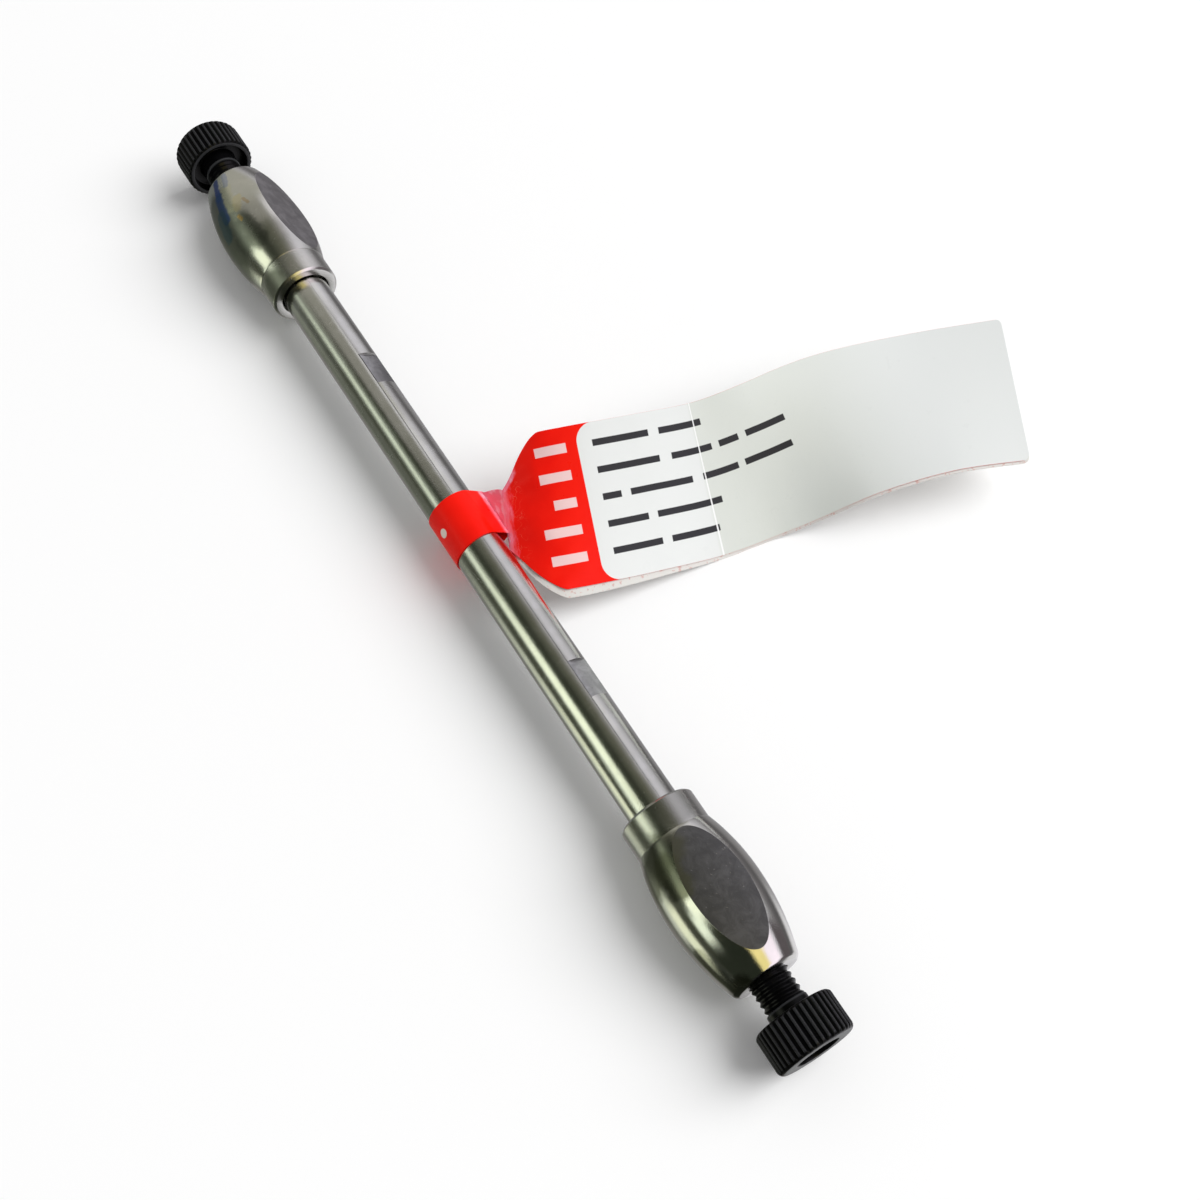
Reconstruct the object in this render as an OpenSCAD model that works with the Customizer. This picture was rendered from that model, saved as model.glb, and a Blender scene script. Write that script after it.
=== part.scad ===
// Packed liquid chromatography column: a steel tube with an end fitting on each end,
// a frit behind each port, a knurled plug in each port and a folded film tag on the tube.
// +X runs along the column from inlet to outlet, +Z is up, and the origin is the middle
// of the tube on its axis. The column lies on its two barrels. All sizes are millimetres.

/* [Tube] */
// Outside diameter of the tube
tube_od = 6.35; // [5:0.05:7]
// Bore that holds the packed bed
tube_bore = 2.1; // [1:0.1:3]
// Length of the tube, which is the length of the bed
bed_length = 100; // [60:1:250]
// Length of tube held inside each end fitting
tube_insertion = 6.7; // [5:0.1:8]
// Depth of the flats on the tube
tube_flat_depth = 0.38; // [0.1:0.02:0.8]
// Length of the flats on the tube
tube_flat_length = 5.3; // [3:0.1:10]
// Distance from an end fitting to the middle of the nearer tube flats
tube_flat_setback = 17.4; // [8:0.1:25]
// Turn of the tube flats about the axis, from straight up towards +Y
tube_flat_roll = 36; // [0:1:90]

/* [End fittings] */
// Wall of the collar at its mouth, on the tube side
collar_wall = 1.06; // [0.7:0.02:1.6]
// Length of the collar
collar_length = 3.9; // [3:0.1:6]
// Largest diameter of the barrel
barrel_od = 11.8; // [10.4:0.1:14]
// Diameter of the barrel where it meets the collar
barrel_start_od = 9.4; // [9:0.1:10.2]
// Diameter of the barrel at its outer end
barrel_end_od = 8.1; // [7.2:0.1:10]
// Distance from the collar's face to the widest part of the barrel
barrel_peak = 11.7; // [9:0.1:15]
// Width across the oval wrench flats
wrench_across = 9.6; // [9.3:0.1:11]
// Turn of the inlet's wrench flats, from straight up towards +Y
inlet_flat_roll = 46; // [0:1:90]
// Turn of the outlet's wrench flats, from straight up towards +Y
outlet_flat_roll = 0; // [0:1:90]
// Edge break at both ends of a fitting
fitting_chamfer = 0.3; // [0.1:0.05:0.5]
// Gap between the tube and the plain mouth of the collar
entry_gap = 0.42; // [0.2:0.02:0.6]
// Depth of the plain mouth of the collar
entry_depth = 1.6; // [0.5:0.1:3]
// Radial gap left for every thread
thread_gap = 0.05; // [0.02:0.01:0.1]

/* [Ports] */
// Outside diameter of the port's thread
port_thread_od = 4.83; // [4:0.01:5.5]
// Depth of the port's thread
port_thread_depth = 7.5; // [5:0.1:8]
// Step in radius between the thread and the port's cone
cone_step = 0.3; // [0.1:0.05:0.5]
// Included angle of the cone
cone_angle = 40; // [36:1:60]
// Bore that seats the end of a connecting tube
pilot_bore = 1.6; // [1:0.1:2]
// Depth of that seat
pilot_depth = 1.6; // [1:0.1:1.8]
// Bore of the passage to the frit
passage_bore = 0.5; // [0.2:0.1:0.8]
// Length of that passage
passage_length = 1.7; // [0.8:0.1:4]

/* [Frits] */
// Diameter of the sintered disc
frit_od = 3.2; // [2.4:0.1:4]
// Thickness of the disc and of its seal ring
frit_thickness = 1; // [0.6:0.1:1.5]
// Radial gap between the seal ring and its socket
ring_gap = 0.1; // [0.02:0.01:0.2]
// Slip between nested pieces that are pressed together
press_slip = 0.01; // [0:0.005:0.02]

/* [Plugs] */
// Diameter of the knurled head over its ribs
head_od = 9.6; // [8.5:0.1:12]
// Length of the head
head_length = 4.85; // [4:0.05:8]
// Length of shank that shows between fitting and head
shank_shown = 4.3; // [1:0.1:6]
// Number of ribs on the head
rib_count = 38; // [24:1:48]
// Depth of the grooves between ribs
rib_depth = 0.28; // [0.1:0.02:0.4]
// Width of each groove
groove_width = 0.45; // [0.3:0.05:0.7]
// Edge break at the outer end of the head
head_chamfer = 0.65; // [0.3:0.05:1]
// Diameter of the hole in the outer end
head_hole = 5.2; // [4:0.1:6]
// Depth of that hole
head_hole_depth = 2.6; // [1:0.1:3]
// Width of the rim round the ring-shaped recess behind the head
rim_width = 0.85; // [0.6:0.05:1.2]
// Depth of that recess
recess_depth = 1.2; // [0.5:0.1:1.5]
// Step in radius from the thread up to the plain collar next to the head
shoulder_step = 0.12; // [0.05:0.01:0.3]
// Length of that plain collar
shoulder_length = 1; // [0.5:0.1:2]
// Gap kept between the plug's cone and the port's cone
cone_gap = 0.15; // [0.05:0.05:0.3]

/* [Tag] */
// Gap between the tube and the tag's loop
loop_gap = 0.28; // [0.2:0.02:0.6]
// Width of the loop along the tube
loop_width = 7.8; // [5:0.1:12]
// Thickness of one film
film_thickness = 0.2; // [0.15:0.01:0.3]
// Thickness of the wing, two films glued together
wing_thickness = 0.36; // [0.3:0.02:0.6]
// Width of the wing
wing_width = 19.8; // [14:0.2:26]
// Width of the neck between loop and wing
neck_width = 7.1; // [5:0.1:9]
// Run of the slanted corners from neck to full width
flare_run = 4.9; // [3:0.1:8]

/* [Hidden] */
$fn = 96;
// Spare length by which a cut runs past a face
over = 1;
tube_r = tube_od / 2;
tube_chamfer = 0.2;
face_x = bed_length / 2 - tube_insertion;
mouth_r = tube_r + entry_gap;
mouth_chamfer = 0.25;
socket_r = tube_r + thread_gap;
socket_depth = tube_insertion + frit_thickness;
shank_r = port_thread_od / 2;
port_r = shank_r + thread_gap;
pilot_r = pilot_bore / 2;
cone_r = shank_r - cone_step;
cone_slope = tan(cone_angle / 2);
pilot_start = socket_depth + passage_length;
pilot_end = pilot_start + pilot_depth;
cone_end = pilot_end + (cone_r - pilot_r) / cone_slope;
fitting_length = cone_end + port_thread_depth;
collar_r = mouth_r + collar_wall;
barrel_r = barrel_od / 2;
barrel_end_r = barrel_end_od / 2;
collar_lap = 0.1;
// Plug, measured outwards from the fitting's end
head_r = head_od / 2;
head_end = shank_shown + head_length;
back_chamfer = 0.4;
shoulder_r = shank_r + shoulder_step;
recess_r = head_r - rim_width;
recess_slant = 0.2;
nose_r = pilot_r + 0.1;
tip_start = cone_gap - port_thread_depth;
nose_end = tip_start - (cone_r - nose_r) / cone_slope;
groove_r = groove_width / 2;
// Tag
loop_r = tube_r + loop_gap;
loop_outer = loop_r + film_thickness;
apex_y = loop_outer + 0.9;
flare_start = -10.8;
// Distance along the tag, then the middle of its width, measured from the loop's
// point, then its lean in degrees
tag_stations = [
    [-12, 1.1, -0.7, 0.1, 20], [-6, 3.9, 4.2, 2.4, 24], [0, 5.8, 9.7, 2.6, 29],
    [8, 7.5, 17.25, 1.55, 33], [16, 9.1, 26, 0.15, 35.5], [26, 10.3, 33.9, 0.6, 34],
    [38, 12.25, 44.4, 2.7, 18], [50, 15.25, 55.6, 3.35, 11], [62, 19.1, 66.4, 3.3, 14]];
last_station = len(tag_stations) - 1;
// The wing starts a little after the first station, and its rows are evenly spaced
first_step = 0.3;
wing_steps = 46;
across_steps = 4;
sliver = 0.02;

// Turns a profile drawn as (radius, distance) about the X axis
module turned() {
    rotate([0, 90, 0]) rotate_extrude() children();
}

// Places something drawn from the collar's face outwards at the outlet
module at_outlet() {
    translate([face_x, 0, 0]) children();
}

// The same at the inlet
module at_inlet() {
    mirror([1, 0, 0]) translate([face_x, 0, 0]) children();
}

// Everything between two parallel flats, turned from straight up towards +Y
module between_flats(across, length, roll) {
    wide = 4 * barrel_r;
    rotate([-roll, 0, 0]) cube([length, wide, across], center = true);
}

// A pair of short flats to cut into the tube
module tube_flats(middle_x) {
    translate([middle_x, 0, 0]) difference() {
        cube([tube_flat_length, 4 * tube_r, 4 * tube_r], center = true);
        between_flats(tube_od - 2 * tube_flat_depth, tube_flat_length + over, tube_flat_roll);
    }
}

module column_tube() {
    half = bed_length / 2;
    flat_x = face_x - tube_flat_setback;
    color("silver") difference() {
        turned() polygon([
            [tube_bore / 2, -half], [tube_r - tube_chamfer, -half],
            [tube_r, tube_chamfer - half], [tube_r, half - tube_chamfer],
            [tube_r - tube_chamfer, half], [tube_bore / 2, half]]);
        tube_flats(flat_x);
        tube_flats(-flat_x);
    }
}

module packed_bed() {
    color("ivory") rotate([0, 90, 0])
        cylinder(r = tube_bore / 2 - press_slip, h = bed_length, center = true);
}

// The collar's outline, from its face outwards
module collar_profile() {
    polygon([[0, 0], [collar_r - fitting_chamfer, 0], [collar_r, fitting_chamfer],
        [collar_r, collar_length + collar_lap], [0, collar_length + collar_lap]]);
}

// One side of the barrel's outline: an arc that is level at the peak and has fallen
// to the radius given at a distance from the peak
module barrel_side(start, finish, reach, radius) {
    fall = barrel_r - radius;
    arc = (reach * reach + fall * fall) / 2 / fall;
    intersection() {
        translate([barrel_r - arc, barrel_peak]) circle(r = arc, $fn = 360);
        translate([0, start]) square([barrel_r, finish - start]);
    }
}

module barrel_profile() {
    slant = barrel_r - barrel_end_r + fitting_chamfer;
    intersection() {
        union() {
            barrel_side(collar_length, barrel_peak, barrel_peak - collar_length, barrel_start_od / 2);
            barrel_side(barrel_peak, fitting_length, fitting_length - barrel_peak, barrel_end_r);
        }
        polygon([[0, collar_length], [barrel_r, collar_length], [barrel_r, fitting_length - slant],
            [barrel_r - slant, fitting_length], [0, fitting_length]]);
    }
}

// Hollows of an end fitting: mouth, tube socket, passage, pilot, cone and threaded port
module fitting_hollows() {
    wide_mouth = mouth_r + mouth_chamfer;
    wide_port = port_r + mouth_chamfer;
    polygon([[0, -over], [wide_mouth + over, -over], [mouth_r, mouth_chamfer],
        [mouth_r, entry_depth], [socket_r, entry_depth + mouth_r - socket_r],
        [socket_r, socket_depth], [passage_bore / 2, socket_depth],
        [passage_bore / 2, pilot_start], [pilot_r, pilot_start], [pilot_r, pilot_end],
        [cone_r, cone_end], [port_r, cone_end], [port_r, fitting_length - mouth_chamfer],
        [wide_port + over, fitting_length + over], [0, fitting_length + over]]);
}

module end_fitting(roll) {
    color("silver") difference() {
        union() {
            turned() collar_profile();
            intersection() {
                turned() barrel_profile();
                between_flats(wrench_across, 3 * fitting_length, roll);
            }
        }
        turned() fitting_hollows();
    }
}

module frit() {
    color("dimgray") rotate([0, 90, 0]) translate([0, 0, tube_insertion])
        cylinder(r = frit_od / 2 - press_slip, h = frit_thickness);
}

module frit_ring() {
    color("wheat") turned() translate([frit_od / 2, tube_insertion])
        square([socket_r - ring_gap - frit_od / 2, frit_thickness]);
}

// Ribbed outside of a plug's head, before its ends are turned
module ribbed_rod() {
    rotate([0, 90, 0]) translate([0, 0, shank_shown]) linear_extrude(head_length) difference() {
        circle(r = head_r);
        for (rib = [0 : rib_count - 1]) rotate(rib * 360 / rib_count)
            translate([head_r - rib_depth + groove_r, 0]) circle(r = groove_r, $fn = 16);
    }
}

// Turned shape of a whole plug
module plug_profile() {
    polygon([[0, nose_end], [nose_r, nose_end], [cone_r, tip_start], [shank_r, tip_start],
        [shank_r, shank_shown - shoulder_length], [shoulder_r, shank_shown - shoulder_length],
        [shoulder_r, shank_shown + recess_depth], [recess_r - recess_slant, shank_shown + recess_depth],
        [recess_r, shank_shown], [head_r - back_chamfer, shank_shown],
        [head_r, shank_shown + back_chamfer], [head_r, head_end - head_chamfer],
        [head_r - head_chamfer, head_end], [head_hole / 2, head_end],
        [head_hole / 2, head_end - head_hole_depth], [0, head_end - head_hole_depth]]);
}

module plug() {
    color([0.08, 0.08, 0.09]) translate([fitting_length, 0, 0]) intersection() {
        turned() plug_profile();
        union() {
            ribbed_rod();
            rotate([0, 90, 0]) translate([0, 0, nose_end - over])
                cylinder(r = recess_r - recess_slant, h = shank_shown + over - nose_end + recess_depth);
        }
    }
}

// Smooth curve through four neighbouring values
function blend(a, b, c, d, t) =
    (2 * b + (c - a) * t + (2 * a - 5 * b + 4 * c - d) * t * t
    + (3 * b - a - 3 * c + d) * t * t * t) / 2;
function station(k) = tag_stations[max(0, min(last_station, k))];
function tag_at(w) = let (k = min(floor(w), last_station - 1))
    blend(station(k - 1), station(k), station(k + 1), station(k + 2), w - k);
function place(s) = [s[1], apex_y + s[2], s[3]];
function unit(v) = v / norm(v);
function heading(w) = unit(place(tag_at(min(w + sliver, last_station)))
    - place(tag_at(max(w - sliver, 0))));
// Half the tag's width at a distance along it
function half_width(run) = min(wing_width / 2, max(neck_width / 2,
    neck_width / 2 + (run - flare_start) * (wing_width - neck_width) / 2 / flare_run));
// One row of points across the tag, on its upper or lower side
function tag_row(w, side) = let (
    s = tag_at(w), t = heading(w), level = unit([t[1], -t[0], 0]), up = cross(level, t),
    across = cos(s[4]) * level - sin(s[4]) * up, normal = cross(across, t),
    half = half_width(s[0]))
    [for (j = [0 : across_steps]) place(s) + across * half * (2 * j / across_steps - 1)
        + normal * side * wing_thickness / 2];
wing_rows = [for (k = [0 : wing_steps]) first_step + k * (last_station - first_step) / wing_steps];
row_count = len(wing_rows);
columns = across_steps + 1;
wing_points = [for (side = [1, -1], w = wing_rows) each tag_row(w, side)];
function upper(i, j) = i * columns + j;
function lower(i, j) = (row_count + i) * columns + j;
wing_faces = concat(
    [for (i = [0 : row_count - 2], j = [0 : columns - 2])
        [upper(i, j), upper(i + 1, j), upper(i + 1, j + 1), upper(i, j + 1)]],
    [for (i = [0 : row_count - 2], j = [0 : columns - 2])
        [lower(i, j), lower(i, j + 1), lower(i + 1, j + 1), lower(i + 1, j)]],
    [for (i = [0 : row_count - 2]) [upper(i, 0), lower(i, 0), lower(i + 1, 0), upper(i + 1, 0)]],
    [for (i = [0 : row_count - 2]) [upper(i, columns - 1), upper(i + 1, columns - 1),
        lower(i + 1, columns - 1), lower(i, columns - 1)]],
    [for (j = [0 : columns - 2]) [upper(0, j), upper(0, j + 1), lower(0, j + 1), lower(0, j)]],
    [for (j = [0 : columns - 2]) [upper(row_count - 1, j), lower(row_count - 1, j),
        lower(row_count - 1, j + 1), upper(row_count - 1, j + 1)]]);

// Loop round the tube, drawn out to a point where its two films meet
module loop_outline(radius, apex) {
    reach = acos(radius / apex);
    circle(r = radius);
    polygon([[0, 0], [radius * cos(reach), radius * sin(reach)], [apex, 0],
        [radius * cos(reach), -radius * sin(reach)]]);
}

// The corners of a thin slice across the wing, and the six faces of any such block
function slice_corners(w) = [for (v = [w, w + sliver])
    each let (top = tag_row(v, 1), under = tag_row(v, -1))
        [top[0], top[across_steps], under[across_steps], under[0]]];
block_faces = [[0, 1, 2, 3], [7, 6, 5, 4], [0, 4, 5, 1], [1, 5, 6, 2], [2, 6, 7, 3], [3, 7, 4, 0]];

module label_tag() {
    color("red") union() {
        rotate([90, 0, 90]) linear_extrude(loop_width, center = true) difference() {
            loop_outline(loop_outer, apex_y);
            loop_outline(loop_r, apex_y - 2 * film_thickness);
        }
        hull() {
            translate([0, apex_y - film_thickness, 0])
                cube([neck_width, film_thickness, wing_thickness], center = true);
            polyhedron(slice_corners(first_step), block_faces);
        }
        polyhedron(wing_points, wing_faces);
    }
}

column_tube();
packed_bed();
at_inlet() end_fitting(inlet_flat_roll);  // inlet_fitting
at_outlet() end_fitting(outlet_flat_roll);  // outlet_fitting
at_inlet() frit();  // inlet_frit
at_outlet() frit();  // outlet_frit
at_inlet() frit_ring();  // inlet_frit_ring
at_outlet() frit_ring();  // outlet_frit_ring
at_inlet() plug();  // inlet_plug
at_outlet() plug();  // outlet_plug
label_tag();
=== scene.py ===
import math
import bmesh
import bpy
from mathutils import Matrix, Vector


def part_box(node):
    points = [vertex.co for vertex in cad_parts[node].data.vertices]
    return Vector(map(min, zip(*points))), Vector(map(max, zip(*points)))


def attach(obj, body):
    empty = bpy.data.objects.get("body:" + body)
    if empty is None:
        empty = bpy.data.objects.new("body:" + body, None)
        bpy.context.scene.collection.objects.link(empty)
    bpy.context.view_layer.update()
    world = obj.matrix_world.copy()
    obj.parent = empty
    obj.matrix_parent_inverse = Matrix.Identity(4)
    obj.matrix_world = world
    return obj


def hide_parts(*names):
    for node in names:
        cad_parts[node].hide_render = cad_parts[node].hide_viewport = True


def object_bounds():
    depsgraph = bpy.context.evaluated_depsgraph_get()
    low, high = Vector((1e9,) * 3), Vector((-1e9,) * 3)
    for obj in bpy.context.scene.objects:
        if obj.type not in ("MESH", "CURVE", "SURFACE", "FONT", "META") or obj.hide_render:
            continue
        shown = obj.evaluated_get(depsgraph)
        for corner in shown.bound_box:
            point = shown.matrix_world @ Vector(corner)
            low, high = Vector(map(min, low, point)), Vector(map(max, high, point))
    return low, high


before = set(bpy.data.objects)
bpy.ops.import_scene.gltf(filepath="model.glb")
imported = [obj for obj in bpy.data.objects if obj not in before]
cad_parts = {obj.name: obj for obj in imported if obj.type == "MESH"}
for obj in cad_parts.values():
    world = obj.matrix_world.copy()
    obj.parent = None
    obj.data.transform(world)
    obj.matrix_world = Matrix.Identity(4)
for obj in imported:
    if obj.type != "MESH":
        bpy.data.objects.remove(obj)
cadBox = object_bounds()
mm = 0.001
bpy.context.scene.view_settings.view_transform = "Standard"


# A wire is a node's socket that can stand in a sum
class Wire:
    def __init__(self, bench, socket):
        self.bench = bench
        self.socket = socket

    def __add__(self, other):
        return self.bench.math("ADD", self, other)

    def __sub__(self, other):
        return self.bench.math("SUBTRACT", self, other)

    def __rsub__(self, other):
        return self.bench.math("SUBTRACT", other, self)

    def __mul__(self, other):
        return self.bench.math("MULTIPLY", self, other)

    def __truediv__(self, other):
        return self.bench.math("DIVIDE", self, other)

    def __rtruediv__(self, other):
        return self.bench.math("DIVIDE", other, self)

    def __neg__(self):
        return self.bench.math("MULTIPLY", self, -1.0)

    def __abs__(self):
        return self.bench.math("ABSOLUTE", self)

    __radd__ = __add__
    __rmul__ = __mul__


# A bench is a node tree with short ways to add nodes to it
class Bench:
    def __init__(self, tree):
        self.tree = tree

    def add(self, kind, settings=None, inputs=None):
        node = self.tree.nodes.new(kind)
        for name, value in (settings or {}).items():
            if name == "stops":
                self.setStops(node.color_ramp, value)
            else:
                setattr(node, name, value)
        for key, value in (inputs or {}).items():
            if isinstance(value, Wire):
                self.tree.links.new(value.socket, node.inputs[key])
            else:
                node.inputs[key].default_value = value
        return node

    def setStops(self, ramp, stops):
        while len(ramp.elements) < len(stops):
            ramp.elements.new(0.5)
        for element, (place, colour) in zip(ramp.elements, stops):
            element.position = place
            element.color = (*colour, 1.0)

    def out(self, kind, settings=None, inputs=None, output=0):
        return Wire(self, self.add(kind, settings, inputs).outputs[output])

    def math(self, operation, *values):
        return self.out("ShaderNodeMath", {"operation": operation}, dict(enumerate(values)))

    def vector(self, operation, *values, output=0):
        return self.out("ShaderNodeVectorMath", {"operation": operation}, dict(enumerate(values)), output)

    def least(self, one, other):
        return self.math("MINIMUM", one, other)

    def most(self, one, other):
        return self.math("MAXIMUM", one, other)

    # length of the long side of a right-angled triangle
    def span(self, one, other):
        return self.math("SQRT", one * one + other * other)

    def split(self, vector):
        node = self.add("ShaderNodeSeparateXYZ", None, {0: vector})
        return [Wire(self, socket) for socket in node.outputs]

    def join(self, x, y, z):
        return self.out("ShaderNodeCombineXYZ", None, {0: x, 1: y, 2: z})

    # 0 below low, 1 above high, smooth between
    def rise(self, value, low, high):
        return self.out("ShaderNodeMapRange", {"interpolation_type": "SMOOTHSTEP"},
                        {"Value": value, "From Min": low, "From Max": high})

    def noise(self, vector, scale=1.0, detail=2.0, roughness=0.5, distortion=0.0):
        return self.out("ShaderNodeTexNoise", None, {
            "Vector": vector, "Scale": scale, "Detail": detail,
            "Roughness": roughness, "Distortion": distortion})

    # one colour to the other; they are sockets 6 and 7 of the Mix node, and the result is output 2
    def blend(self, factor, one, other):
        one = one if isinstance(one, Wire) else (*one, 1.0)
        other = other if isinstance(other, Wire) else (*other, 1.0)
        return self.out("ShaderNodeMix", {"data_type": "RGBA"}, {0: factor, 6: one, 7: other}, 2)

    def bump(self, height, depth):
        return self.out("ShaderNodeBump", None, {"Strength": 1.0, "Distance": depth * mm, "Height": height})


def newMaterial(name):
    material = bpy.data.materials.new(name)
    material.use_nodes = True
    material.node_tree.nodes.clear()
    return material, Bench(material.node_tree)


def finishMaterial(bench, **sockets):
    shader = bench.add("ShaderNodeBsdfPrincipled", None,
                       {name.replace("_", " "): value for name, value in sockets.items()})
    surface = bench.add("ShaderNodeOutputMaterial")
    bench.tree.links.new(shader.outputs[0], surface.inputs["Surface"])


# Object coordinates in mm: x, y and z as wires, then the vector itself
def ownPlace(bench):
    place = bench.out("ShaderNodeTexCoord", output=3)
    scaled = bench.vector("SCALE", place)
    scaled.socket.node.inputs["Scale"].default_value = 1.0 / mm
    return (*bench.split(scaled), scaled)


# Lengths in mm and angles in degrees for all work on meshes
meshWork = {"mergeReach": 0.0005, "bendShare": 0.45, "shortestBend": 0.004, "straight": 165.0,
            "cutterWide": 14.0, "cutterDeep": 6.0, "cutAngle": 10.0, "brokenAngle": 12.0}


def linkMesh(name, verts, faces, smoothAngle=30.0):
    mesh = bpy.data.meshes.new(name)
    mesh.from_pydata([Vector(vert) * mm for vert in verts], [], faces)
    piece = bpy.data.objects.new(name, mesh)
    bpy.context.scene.collection.objects.link(piece)
    tidyMesh(piece, smoothAngle)
    return piece


# Merges doubles, turns the faces outwards and keeps the edges above the angle sharp
def tidyMesh(piece, smoothAngle):
    work = bmesh.new()
    work.from_mesh(piece.data)
    bmesh.ops.remove_doubles(work, verts=work.verts, dist=meshWork["mergeReach"] * mm)
    bmesh.ops.recalc_face_normals(work, faces=work.faces)
    work.to_mesh(piece.data)
    work.free()
    piece.data.shade_smooth()
    piece.data.set_sharp_from_angle(angle=math.radians(smoothAngle))


# The piece's modifiers become its mesh
def settle(piece, smoothAngle=30.0):
    graph = bpy.context.evaluated_depsgraph_get()
    mesh = bpy.data.meshes.new_from_object(piece.evaluated_get(graph))
    piece.modifiers.clear()
    piece.data = mesh
    tidyMesh(piece, smoothAngle)


# Rounds the corners of an outline of (x, radius) points; the ends of an open one stay
def softened(points, radius, ring=True, steps=3):
    made = []
    count = len(points)
    for index, point in enumerate(points):
        if not ring and index in (0, count - 1):
            made.append(point)
            continue
        here = Vector(point)
        toBefore = Vector(points[index - 1]) - here
        toAfter = Vector(points[(index + 1) % count]) - here
        reach = min(radius, toBefore.length * meshWork["bendShare"], toAfter.length * meshWork["bendShare"])
        if reach < meshWork["shortestBend"] or toBefore.angle(toAfter) > math.radians(meshWork["straight"]):
            made.append(tuple(here))
            continue
        start = here + toBefore.normalized() * reach
        end = here + toAfter.normalized() * reach
        for step in range(steps + 1):
            t = step / steps
            made.append(tuple((1 - t) ** 2 * start + 2 * t * (1 - t) * here + t * t * end))
    return made


# Turns an outline about the X axis; an open one starts and ends on the axis
def turnedPiece(name, outline, segments, ring=True):
    verts, rows = [], []
    for x, radius in outline:
        if radius < 1e-6:
            rows.append([len(verts)] * segments)
            verts.append((x, 0.0, 0.0))
            continue
        rows.append(list(range(len(verts), len(verts) + segments)))
        for step in range(segments):
            angle = 2 * math.pi * step / segments
            verts.append((x, radius * math.cos(angle), radius * math.sin(angle)))
    faces = []
    pairs = zip(rows, rows[1:] + rows[:1] if ring else rows[1:])
    for row, following in pairs:
        for step in range(segments):
            turn = (step + 1) % segments
            corners = [row[step], row[turn], following[turn], following[step]]
            faces.append(list(dict.fromkeys(corners)))
    return linkMesh(name, verts, faces)


# A box with its own middle, size and turn about X
def cutter(middle, size, roll):
    bpy.ops.mesh.primitive_cube_add(size=1.0)
    block = bpy.context.object
    block.name = "cut"
    place = Matrix.Rotation(-math.radians(roll), 4, "X") @ Matrix.Translation(Vector(middle) * mm)
    block.data.transform(place @ Matrix.Diagonal((*(Vector(size) * mm), 1.0)))
    return block


# Cuts a pair of flats, each so far off the axis, at every given x
def cutFlats(piece, middles, length, off, roll):
    size = (length, meshWork["cutterWide"], meshWork["cutterDeep"])
    reach = off + meshWork["cutterDeep"] / 2
    blocks = [cutter((x, 0, side * reach), size, roll) for x in middles for side in (1, -1)]
    for block in blocks:
        cut = piece.modifiers.new("cut", "BOOLEAN")
        cut.operation = "DIFFERENCE"
        cut.solver = "EXACT"
        cut.object = block
    settle(piece, meshWork["cutAngle"])
    for block in blocks:
        bpy.data.objects.remove(block)


def breakEdges(piece, width):
    edge = piece.modifiers.new("edge", "BEVEL")
    edge.width = width * mm
    edge.segments = 2
    edge.limit_method = "ANGLE"
    edge.angle_limit = math.radians(meshWork["brokenAngle"])
    edge.harden_normals = False
    settle(piece)


def turnEndForEnd(piece):
    piece.data.transform(Matrix.Rotation(math.pi, 4, "Z"))


def clothe(piece, material):
    piece.data.materials.clear()
    piece.data.materials.append(material)


# Place and lens in mm, angles in degrees, and in metres where its sight starts and ends
cameraPlace = {"x": 90.33, "y": -45.06, "z": 162.95, "heading": 143.603, "down": 60.747, "roll": 5.015,
               "lens": 46.26, "sensor": 36.0, "clip": (0.01, 20.0)}


def buildCamera():
    data = bpy.data.cameras.new("camera")
    data.lens = cameraPlace["lens"]
    data.sensor_width = cameraPlace["sensor"]
    data.clip_start, data.clip_end = cameraPlace["clip"]
    camera = bpy.data.objects.new("camera", data)
    bpy.context.scene.collection.objects.link(camera)
    heading = math.radians(cameraPlace["heading"])
    down = math.radians(cameraPlace["down"])
    ahead = math.cos(down)
    forward = Vector((math.cos(heading) * ahead, math.sin(heading) * ahead, -math.sin(down)))
    level = forward.cross(Vector((0, 0, 1))).normalized()
    right = Matrix.Rotation(-math.radians(cameraPlace["roll"]), 3, forward) @ level
    up = right.cross(forward)
    turn = Matrix((right, up, -forward)).transposed()
    place = Vector([cameraPlace[axis] for axis in "xyz"]) * mm
    camera.matrix_world = Matrix.Translation(place) @ turn.to_4x4()
    bpy.context.scene.camera = camera


# Lengths in mm; the floor fades to white between the two distances from the middle
stageLook = {"floorSize": 6000.0, "floorColour": 0.97, "floorRough": 0.9, "floorSpecular": 0.1,
             "fade": (180.0, 900.0), "skyLevel": 0.42, "keyPower": 158.0, "keySize": 3800.0,
             "keyReach": 4000.0, "keyFrom": (0.28, 0.60, 0.75)}
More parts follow.
